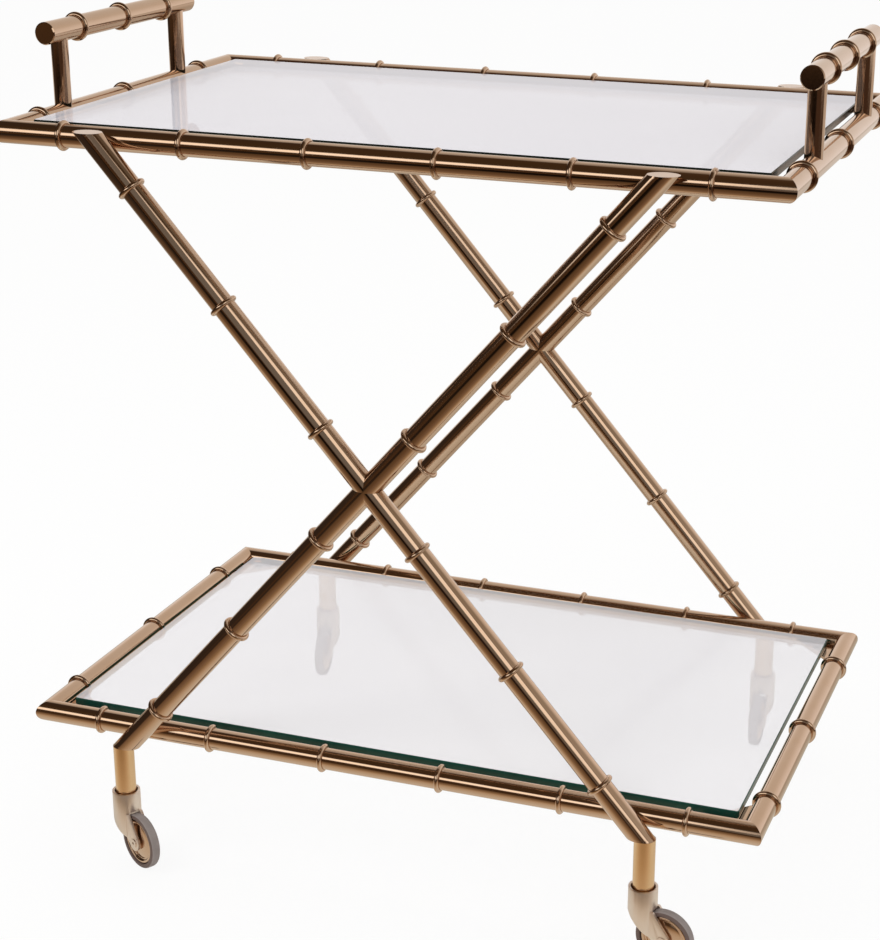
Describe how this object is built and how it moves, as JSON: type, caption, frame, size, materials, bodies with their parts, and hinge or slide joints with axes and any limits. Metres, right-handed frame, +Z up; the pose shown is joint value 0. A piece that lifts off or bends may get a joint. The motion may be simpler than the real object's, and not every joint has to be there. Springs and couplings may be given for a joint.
{
  "type": "dessert trolley",
  "caption": "Serving trolley with glass upper and lower trays framed in ringed brass tube, on crossed tube legs with swivel casters and raised side handles.",
  "frame": {"origin": "on the floor, midway between the four swivel axes and under the crossing of the legs", "axes": "+Z up, +X along the trays' length to the right as seen from the front, -Y to the front, +Y to the back"},
  "size_m": [0.7786, 0.5515, 0.844],
  "materials": {
    "polished_brass": "polished, rose-gold tone",
    "pale_brass": "satin, paler than the tubes",
    "steel_pin": "turned",
    "tyre_rubber": "matte grey-brown",
    "nylon": "natural nylon",
    "clear_glass": "clear float glass, green at the edge",
    "clear_pad": "clear soft plastic"
  },
  "bodies": {
    "frame": {"upper_front_rail": "polished_brass", "upper_back_rail": "polished_brass", "upper_left_rail": "polished_brass", "upper_right_rail": "polished_brass", "lower_front_rail": "polished_brass", "lower_back_rail": "polished_brass", "lower_left_rail": "polished_brass", "lower_right_rail": "polished_brass", "upper_tray_rings": "polished_brass", "lower_tray_rings": "polished_brass", "upper_tray_tabs": "polished_brass", "lower_tray_tabs": "polished_brass", "upper_glass_pads": "clear_pad", "lower_glass_pads": "clear_pad", "upper_glass": "clear_glass", "lower_glass": "clear_glass", "front_through_leg": "polished_brass", "front_cross_leg_upper": "polished_brass", "front_cross_leg_lower": "polished_brass", "back_through_leg": "polished_brass", "back_cross_leg_upper": "polished_brass", "back_cross_leg_lower": "polished_brass", "leg_end_plates": "polished_brass", "front_leg_rings": "polished_brass", "back_leg_rings": "polished_brass", "front_left_foot": "polished_brass", "front_right_foot": "polished_brass", "back_left_foot": "polished_brass", "back_right_foot": "polished_brass", "left_handle_bar": "polished_brass", "right_handle_bar": "polished_brass", "bar_end_caps": "polished_brass", "handle_rings": "polished_brass", "left_front_post": "polished_brass", "left_back_post": "polished_brass", "right_front_post": "polished_brass", "right_back_post": "polished_brass", "front_left_stem": "steel_pin", "front_right_stem": "steel_pin", "back_left_stem": "steel_pin", "back_right_stem": "steel_pin", "swivel_washers": "nylon"},
    "front_left_swivel": {"front_left_fork": "pale_brass", "front_left_axle": "pale_brass"},
    "front_left_wheel": {"front_left_hub": "polished_brass", "front_left_tyre": "tyre_rubber"},
    "front_right_swivel": {"front_right_fork": "pale_brass", "front_right_axle": "pale_brass"},
    "front_right_wheel": {"front_right_hub": "polished_brass", "front_right_tyre": "tyre_rubber"},
    "back_left_swivel": {"back_left_fork": "pale_brass", "back_left_axle": "pale_brass"},
    "back_left_wheel": {"back_left_hub": "polished_brass", "back_left_tyre": "tyre_rubber"},
    "back_right_swivel": {"back_right_fork": "pale_brass", "back_right_axle": "pale_brass"},
    "back_right_wheel": {"back_right_hub": "polished_brass", "back_right_tyre": "tyre_rubber"}
  },
  "joints": [
    {"name": "front_left_swivel_turn", "type": "hinge", "parent": "frame", "child": "front_left_swivel", "pos_m": [-0.27742, -0.254, 0.054], "axis": [0, 0, 1], "continuous": true},
    {"name": "front_left_wheel_spin", "type": "hinge", "parent": "front_left_swivel", "child": "front_left_wheel", "pos_m": [-0.25643, -0.26564, 0.029], "axis": [0.4848, 0.8746, 0], "continuous": true},
    {"name": "front_right_swivel_turn", "type": "hinge", "parent": "frame", "child": "front_right_swivel", "pos_m": [0.27742, -0.254, 0.054], "axis": [0, 0, 1], "continuous": true},
    {"name": "front_right_wheel_spin", "type": "hinge", "parent": "front_right_swivel", "child": "front_right_wheel", "pos_m": [0.30118, -0.25734, 0.029], "axis": [0.1392, 0.9903, 0], "continuous": true},
    {"name": "back_left_swivel_turn", "type": "hinge", "parent": "frame", "child": "back_left_swivel", "pos_m": [-0.27742, 0.254, 0.054], "axis": [0, 0, 1], "continuous": true},
    {"name": "back_left_wheel_spin", "type": "hinge", "parent": "back_left_swivel", "child": "back_left_wheel", "pos_m": [-0.27325, 0.23036, 0.029], "axis": [0.9848, 0.1736, 0], "continuous": true},
    {"name": "back_right_swivel_turn", "type": "hinge", "parent": "frame", "child": "back_right_swivel", "pos_m": [0.27742, 0.254, 0.054], "axis": [0, 0, 1], "continuous": true},
    {"name": "back_right_wheel_spin", "type": "hinge", "parent": "back_right_swivel", "child": "back_right_wheel", "pos_m": [0.27825, 0.23001, 0.029], "axis": [0.9994, 0.0349, 0], "continuous": true}
  ]
}
